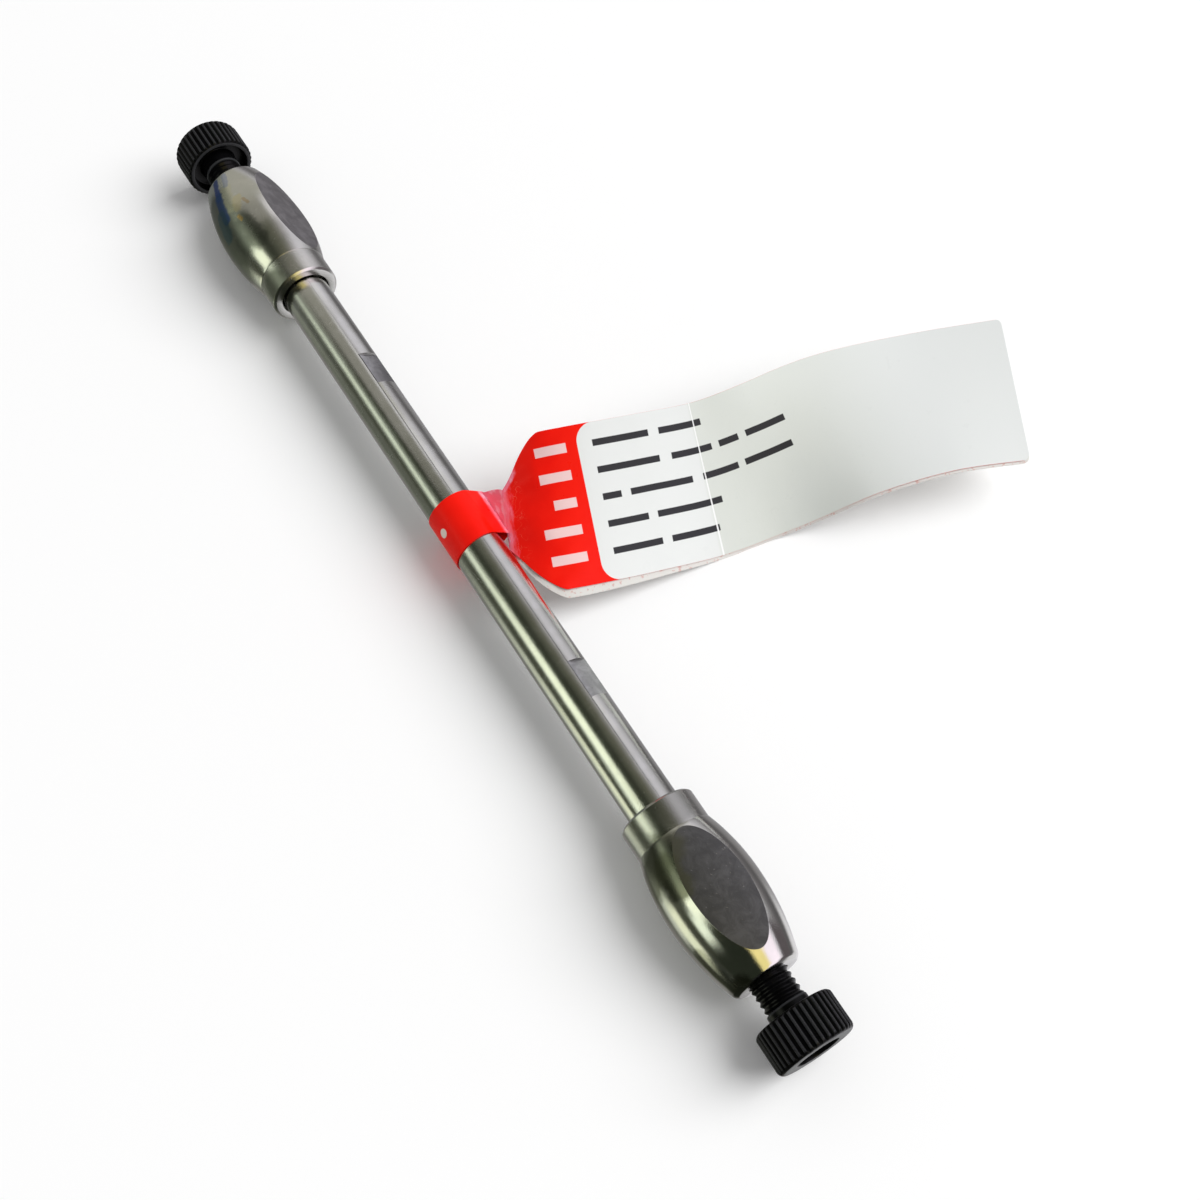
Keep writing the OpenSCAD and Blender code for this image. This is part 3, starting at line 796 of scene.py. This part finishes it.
# u runs along the tag from the edge of its white field, v across it
tagValues = {
    "film": 0.15, "smoothAngle": 40.0, "apart": 0.18,
    "loop": 3.28, "loopHalf": 3.5, "loopSteps": 64, "loopU": (-14.0, -0.3),
    "neckHalf": 3.45, "neckLength": 2.2, "neckSteps": 8, "wingHalf": 9.9, "wingSteps": 150, "across": 30,
    "apex": 4.5, "apexShift": 4.555, "skew": -0.08, "flareStart": -11.0, "flareEnd": -4.8, "firstStep": 0.3,
    "end": 62.0, "corner": 0.9, "cornerSpan": 0.09, "cornerTurns": 8, "cornerTurn": 12.0,
    "slanted": (46.0, 62.0), "slant": (0.33, 0.068), "crease": 15.3, "fieldCorner": 2.4,
    # the back film shows past the front one by the first, and near the neck by the second as well
    "peek": (0.35, 0.75), "peekGrows": (-13.0, -8.0), "peekFades": (-4.0, 22.0),
    "ripple": 0.10, "rippleGrows": (-13.0, -10.0), "rippleFades": (-6.0, -2.0),
    # distance along the tag, middle of its width measured from the loop's point, lean in degrees
    "stations": [(-12, 1.1, -0.7, 0.1, 20), (-6, 3.9, 4.2, 2.4, 24), (0, 5.8, 9.7, 2.6, 29),
                 (8, 7.5, 17.25, 1.55, 33), (16, 9.1, 26, 0.15, 35.5), (26, 10.3, 33.9, 0.6, 34),
                 (38, 12.25, 44.4, 2.7, 18), (50, 15.25, 55.6, 3.35, 11), (62, 19.1, 66.4, 3.3, 14)],
    # bars on the film, row by row from its upper edge: where each starts and ends along the tag
    "rows": (-7.3, -3.9, -0.5, 2.9, 6.3), "darkTall": 0.42, "paleTall": 0.6, "dot": (-0.1, -2.98, 1.55),
    "dark": [[(2.0, 9.4), (10.6, 16.6)],
             [(2.0, 10.2), (11.6, 17.4), (18.8, 22.6), (24.0, 30.6)],
             [(2.0, 4.6), (5.9, 13.6), (15.0, 21.0), (22.3, 30.2)],
             [(2.0, 7.6), (8.8, 16.8)],
             [(2.0, 8.8), (10.0, 15.6)]],
    "pale": [[(-5.6, -1.5)], [(-5.6, -1.5)], [(-4.4, -1.5)], [(-6.2, -1.5)], [(-6.0, -1.5)]],
    "look": {"red": (0.86, 0.005, 0.001), "brightRed": (0.94, 0.009, 0.002), "white": (0.77, 0.785, 0.775),
             "grey": (0.675, 0.70, 0.655), "farWhite": (0.74, 0.76, 0.75), "warm": (0.80, 0.80, 0.78),
             "darkBar": (0.03, 0.03, 0.035), "paleBar": (0.88, 0.66, 0.65), "crease": (0.93, 0.93, 0.93),
             "pinched": (0.98, 0.24, 0.34), "stretched": (1.0, 0.56, 0.68), "crack": (0.95, 0.22, 0.15),
             "dot": (0.82, 0.70, 0.60), "back": (0.70, 0.69, 0.66), "backSpeck": (0.55, 0.18, 0.14),
             "rough": 0.22, "specular": 0.16, "depth": 0.02},
}


# A place between two stations, on a smooth curve through them all
def tagAt(along):
    stations = tagValues["stations"]
    last = len(stations) - 1
    index = min(int(along), last - 1)
    t = along - index
    near = [stations[max(0, min(last, index + shift))] for shift in (-1, 0, 1, 2)]
    made = []
    for p, q, r, s in zip(*near):
        bend = (2 * p - 5 * q + 4 * r - s) * t * t + (3 * q - p - 3 * r + s) * t ** 3
        made.append((2 * q + (r - p) * t + bend) / 2)
    return made


# Distance along the tag, middle of the wing there, and the ways across it and out of its front
def wingFrame(along):
    last = len(tagValues["stations"]) - 1
    u, x, y, z, lean = tagAt(along)
    ahead, behind = tagAt(min(along + 0.02, last)), tagAt(max(along - 0.02, 0))
    heading = Vector([p - q for p, q in zip(ahead[1:4], behind[1:4])]).normalized()
    level = Vector((heading.y, -heading.x, 0)).normalized()
    lean = math.radians(lean)
    across = math.cos(lean) * level - math.sin(lean) * level.cross(heading)
    return u, Vector((x, tagValues["apexShift"] + y, z)), across, across.cross(heading)


# 0 up to the start, 1 from the end on, smooth between
def eased(value, start=0.0, end=1.0):
    t = max(0.0, min(1.0, (value - start) / (end - start)))
    return t * t * (3 - 2 * t)


def halfWidth(u):
    its = tagValues
    t = max(0.0, min(1.0, (u - its["flareStart"]) / (its["flareEnd"] - its["flareStart"])))
    flare = 0.72 * t + 0.28 * eased(t) + 0.10 * math.sin(math.pi * t)
    width = its["neckHalf"] + (its["wingHalf"] - its["neckHalf"]) * flare
    left = its["end"] - u
    if left < its["corner"]:
        width -= its["corner"] - math.sqrt(max(0.0, its["corner"] ** 2 - (its["corner"] - left) ** 2))
    return width


# How far the back film shows past the front one along the lower edge
def peek(u):
    far, more = tagValues["peek"]
    return (far + more * (1 - eased(u, *tagValues["peekFades"]))) * eased(u, *tagValues["peekGrows"])


# A row of the film is its middle, the ways across and out, half its width, u, and 0 front, 1 loop or 2 back
def leafRows(side):
    its = tagValues
    last = len(its["stations"]) - 1
    first, steps = its["firstStep"], its["wingSteps"]
    wing = [first + (last - first) * k / steps for k in range(steps + 1)]
    turns = [math.radians(its["cornerTurn"] * k) for k in range(its["cornerTurns"])]
    corner = [last - its["cornerSpan"] * (1 - math.cos(turn)) for turn in turns]
    rows = []
    for along in sorted(set(wing[:-2] + corner)):
        u, middle, across, out = wingFrame(along)
        middle += across * peek(u) if side < 0 else Vector()
        rows.append((middle + out * side * its["apart"] / 2, across, out * side, halfWidth(u), u, 1 - side))
    return rows


# The neck runs from the loop's point to the first row of its leaf
def neckRows(side, first):
    its = tagValues
    start = Vector((its["skew"] * its["apex"], its["apex"], side * its["apart"] / 2))
    rows = []
    for k in range(its["neckSteps"]):
        t = k / its["neckSteps"]
        across = Vector((1, 0, 0)).lerp(first[1], eased(t)).normalized()
        out = Vector((0, 0, side)).lerp(first[2], eased(t)).normalized()
        half = its["loopHalf"] + (first[3] - its["loopHalf"]) * eased(t)
        u = first[4] - its["neckLength"] * (1 - t)
        rows.append((start.lerp(first[0], t), across, out, half, u, 1 - side))
    return rows


def loopRows():
    its = tagValues
    reach = math.acos(its["loop"] / its["apex"])
    start, step = its["loopU"]
    rows = []
    for k in range(its["loopSteps"] + 1):
        angle = reach + (2 * math.pi - 2 * reach) * k / its["loopSteps"]
        out = Vector((0, math.cos(angle), math.sin(angle)))
        middle = out * its["loop"]
        middle.x = its["skew"] * middle.y
        rows.append((middle, Vector((1, 0, 0)), out, its["loopHalf"], start + k * step, 1))
    return rows


# All rows from the front's free end, round the tube and back
def tagRows():
    front, back = [neckRows(side, leaf[0]) + leaf for side, leaf in ((1, leafRows(1)), (-1, leafRows(-1)))]
    return front[::-1] + loopRows() + back


# Ripples in the pinched neck, on the front film only
def wrinkle(u, v, side):
    if side != 0:
        return 0.0
    fade = eased(u, *tagValues["rippleGrows"]) * (1 - eased(u, *tagValues["rippleFades"]))
    ripples = math.sin(v * 1.7 + u * 0.5) + 0.6 * math.sin(v * 0.9 - u * 0.8 + 1.0)
    return tagValues["ripple"] * fade * ripples


# Adds up one mask for all the bars of a set
def printedBars(bench, u, v, name):
    tall = tagValues[name + "Tall"]
    total = 0.0
    for middle, bars in zip(tagValues["rows"], tagValues[name]):
        inRow = 1 - bench.rise(abs(v - middle), tall - 0.04, tall + 0.04)
        along = 0.0
        for start, end in bars:
            half = (end - start) / 2
            along = (1 - bench.rise(abs(u - (start + end) / 2), half - 0.04, half + 0.04)) + along
        total = inRow * along + total
    return total


# 1 in the red and 0 in the white field, which is a rounded rectangle
def redMask(bench, u, v):
    corner = tagValues["fieldCorner"]
    beyondV = bench.most(abs(v) - (tagValues["wingHalf"] - corner), 0.0)
    beyondU = bench.most(corner - u, 0.0)
    return bench.rise(bench.span(beyondV, beyondU) - corner, -0.04, 0.04)


# Painted glare: the pinched neck is made pale pink, and a streak of it follows the lower edge
def neckGlareMask(bench, u, v, ripple):
    pinched = bench.rise(u, -13.3, -12.9) * (1 - bench.rise(u + ripple * 3.0, -9.5, -8.0))
    streak = bench.rise(-v - u * 1.15 - 15.1, 0.0, 0.5) * bench.rise(u, -11.5, -10.8)
    return bench.most(pinched, streak * (1 - bench.rise(u, -9.2, -8.4)))


def tagMaterial():
    look = tagValues["look"]
    material, bench = newMaterial("tagFilm")
    film = bench.out("ShaderNodeAttribute", {"attribute_name": "film"}, output=1)
    u, v, side = bench.split(film)
    front = 1 - bench.rise(side, 0.4, 0.6)
    back = bench.rise(side, 1.4, 1.6)
    red = bench.blend(bench.noise(film, 0.5, 2.0), look["red"], look["brightRed"])
    # beyond the crease the film is greyer and greener, partly its own tint and partly painted shade; it turns
    # lighter again towards its end
    white = bench.blend(bench.rise(u, 14.8, 15.4), look["white"], look["grey"])
    white = bench.blend(bench.rise(u, 30.0, 50.0), white, look["farWhite"])
    white = bench.blend(bench.noise(film, 0.15, 2.0) * 0.2, white, look["warm"])
    dark, pale = [printedBars(bench, u, v, name) * front for name in ("dark", "pale")]
    tone = bench.blend(redMask(bench, u, v), white, red)
    tone = bench.blend(dark, tone, look["darkBar"])
    tone = bench.blend(pale * 0.92, tone, look["paleBar"])
    crease = (1 - bench.rise(abs(u - tagValues["crease"]), 0.06, 0.13)) * front
    tone = bench.blend(crease * 0.9, tone, look["crease"])
    ripple = bench.noise(bench.join(u * 1.6, v * 0.5, side), 1.0, 3.0, 0.6)
    pinched = neckGlareMask(bench, u, v, ripple) * front
    # painted glare on the neck, brighter in streaks
    tone = bench.blend(pinched * 0.9, tone, look["pinched"])
    tone = bench.blend(pinched * bench.rise(ripple, 0.48, 0.66) * 0.85, tone, look["stretched"])
    # fine cracks run out of the neck
    crack = (1 - bench.rise(abs(bench.noise(film, 0.7, 2.0, 0.5, 0.8) - 0.5), 0.001, 0.008)) * front
    crack = crack * bench.rise(u, -11.0, -9.5) * (1 - bench.rise(u, -9.0, -7.8))
    tone = bench.blend(crack * 0.4, tone, look["crack"])
    spot = bench.vector("DISTANCE", ownPlace(bench)[3], tagValues["dot"], output=1)
    tone = bench.blend(1 - bench.rise(spot, 0.56, 0.64), tone, look["dot"])
    # the back film is bare, with specks of red along it, and red at the neck
    speck = bench.rise(bench.noise(film, 1.6, 3.0, 0.7), 0.56, 0.66)
    under = bench.blend(speck * 0.5, look["back"], look["backSpeck"])
    under = bench.blend(1 - bench.rise(u, -10.5, -9.5), under, red)
    tone = bench.blend(back, tone, under)
    rough = look["rough"] + bench.noise(film, 0.4, 3.0, 0.6) * 0.16 + dark * 0.1
    height = bench.noise(film, 0.9, 2.0) * 0.5 - crease * 0.4 + pinched * ripple * 3.0
    finishMaterial(bench, Base_Color=tone, Roughness=rough, Specular_IOR_Level=look["specular"],
                   Normal=bench.bump(height, look["depth"]))
    return material


def buildTag():
    its = tagValues
    verts, marks, faces = [], [], []
    rows = tagRows()
    shift, slant = its["slant"]
    for middle, across, out, half, u, side in rows:
        # the free end is cut at a slant
        late = (1 - side) * eased(u, *its["slanted"])
        for k in range(its["across"] + 1):
            v = half * (2 * k / its["across"] - 1)
            place = middle + across * v + out * wrinkle(u, v, side)
            verts.append(place + out.cross(across) * (shift - slant * v) * late)
            marks.append((u, v, side))
    width = its["across"] + 1
    for i in range(len(rows) - 1):
        for k in range(its["across"]):
            corner = i * width + k
            faces.append((corner, corner + 1, corner + width + 1, corner + width))
    mesh = bpy.data.meshes.new("labelTag")
    mesh.from_pydata([vert * mm for vert in verts], [], faces)
    layer = mesh.attributes.new("film", "FLOAT_VECTOR", "POINT")
    for item, mark in zip(layer.data, marks):
        item.vector = mark
    tag = bpy.data.objects.new("labelTag", mesh)
    bpy.context.scene.collection.objects.link(tag)
    thick = tag.modifiers.new("thick", "SOLIDIFY")
    thick.thickness = its["film"] * mm
    thick.offset = 0.0
    settle(tag, its["smoothAngle"])
    clothe(tag, tagMaterial())
    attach(tag, "tag")
    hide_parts("label_tag")


# Pieces hidden inside keep their CAD shape and get their own finish
innerLooks = {
    "packed_bed": {"pale": (0.86, 0.85, 0.81), "deep": (0.74, 0.72, 0.66),
                   "grain": 14.0, "rough": 0.85, "metal": 0.0},
    "frit": {"pale": (0.46, 0.46, 0.45), "deep": (0.22, 0.22, 0.22),
             "grain": 12.0, "rough": 0.55, "metal": 1.0},
    "frit_ring": {"pale": (0.62, 0.55, 0.40), "deep": (0.50, 0.43, 0.30),
                  "grain": 3.0, "rough": 0.45, "metal": 0.0},
}


def innerMaterial(name, look):
    material, bench = newMaterial(name)
    grain = bench.noise(ownPlace(bench)[3], look["grain"], 3.0, 0.7)
    tone = bench.blend(bench.rise(grain, 0.35, 0.65), look["deep"], look["pale"])
    rough = look["rough"] + (grain - 0.5) * 0.2
    finishMaterial(bench, Base_Color=tone, Metallic=look["metal"], Roughness=rough,
                   Normal=bench.bump(grain, 0.01))
    return material


def dressInside():
    materials = {name: innerMaterial(name + "Look", look) for name, look in innerLooks.items()}
    for node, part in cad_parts.items():
        kind = node.removeprefix("inlet_").removeprefix("outlet_")
        if kind in materials:
            clothe(part, materials[kind])


buildCamera()
buildFloor()
buildKeyLamp()
buildStudio()
print("camera and stage ready")
buildTube()
for end in ("inlet", "outlet"):
    buildFitting(end)
print("tube and fittings ready")
polymer = plugMaterial()
ribTree = plugTree(polymer)
for end in ("inlet", "outlet"):
    buildPlug(end, polymer, ribTree)
print("plugs ready")
buildTag()
print("tag ready")
dressInside()
print("inner pieces ready")
